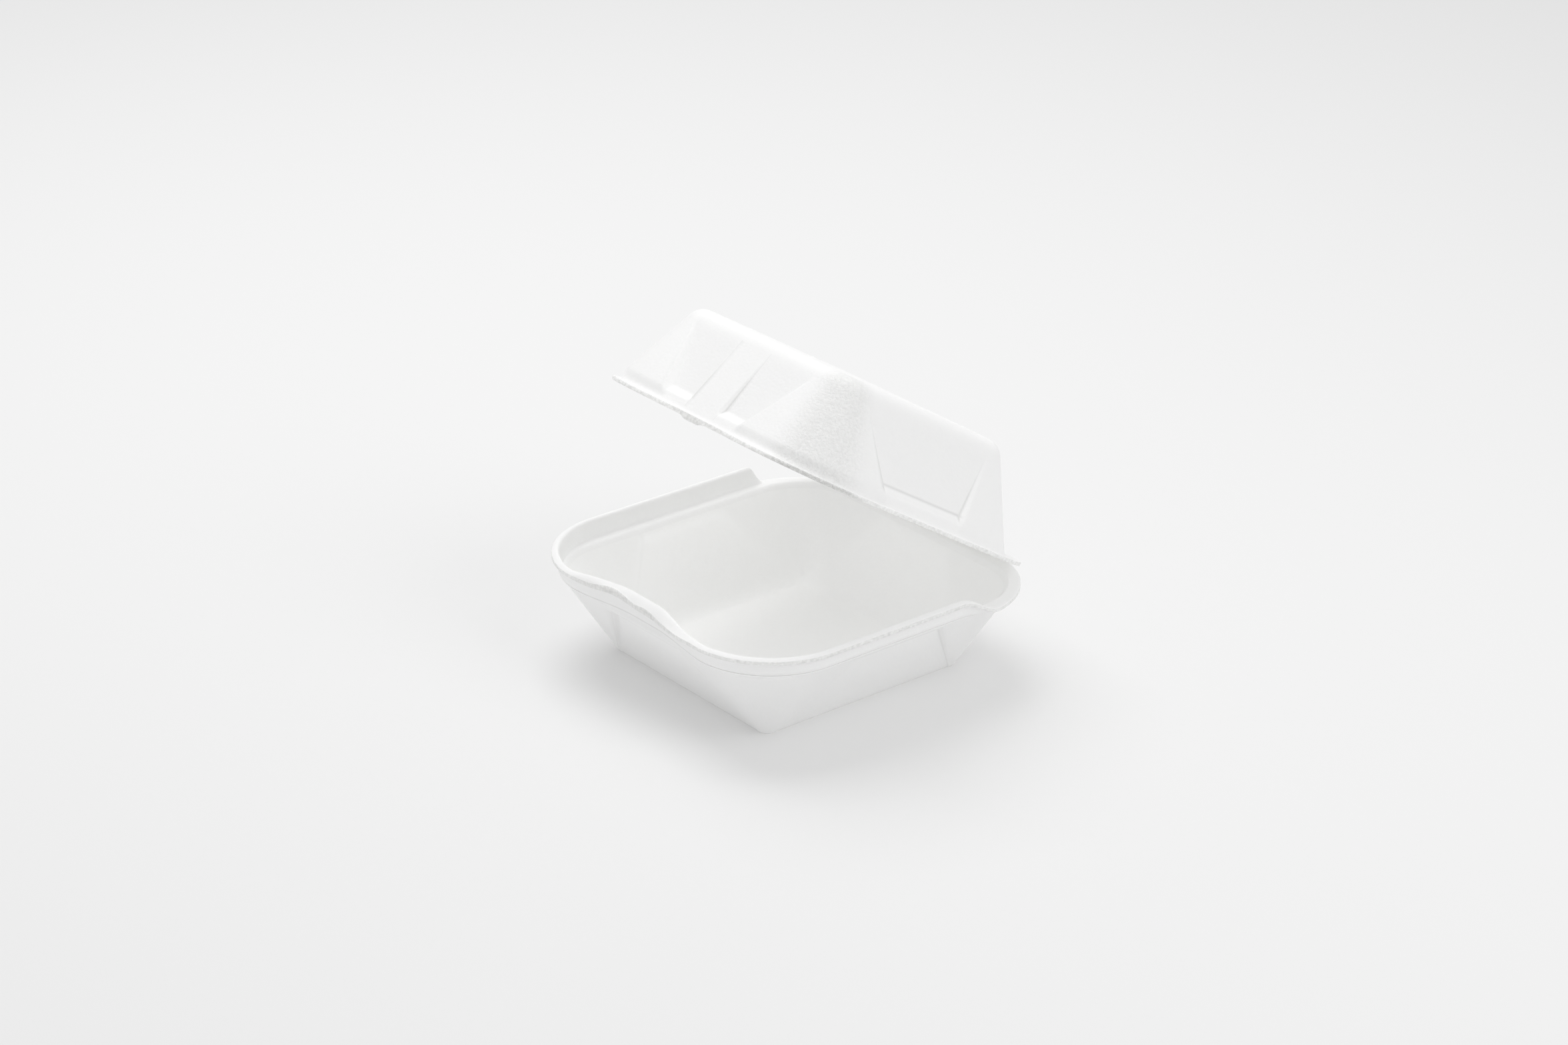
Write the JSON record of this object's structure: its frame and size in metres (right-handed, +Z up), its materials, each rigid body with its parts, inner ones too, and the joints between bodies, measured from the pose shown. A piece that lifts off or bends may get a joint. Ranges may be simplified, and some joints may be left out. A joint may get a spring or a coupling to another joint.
{
  "type": "foam clamshell container",
  "caption": "Square foam take-away container with a tapered tray, a raised lip and front catch, and a domed lid hinged along the back.",
  "frame": {"origin": "centre of the base's flat underside, on the surface it stands on", "axes": "+Z up, +Y towards the hinge, +X to the right seen from the front"},
  "size_m": [0.15, 0.1502, 0.133],
  "materials": {
    "foam": "matte white expanded polystyrene with a soft satin skin"
  },
  "bodies": {
    "base": {"base": "foam"},
    "lid": {"lid": "foam"}
  },
  "joints": [
    {"name": "lid_hinge", "type": "hinge", "parent": "base", "child": "lid", "pos_m": [0, 0.0738, 0.034], "axis": [-1, 0, 0], "range_deg": [-32.5, 126]}
  ]
}
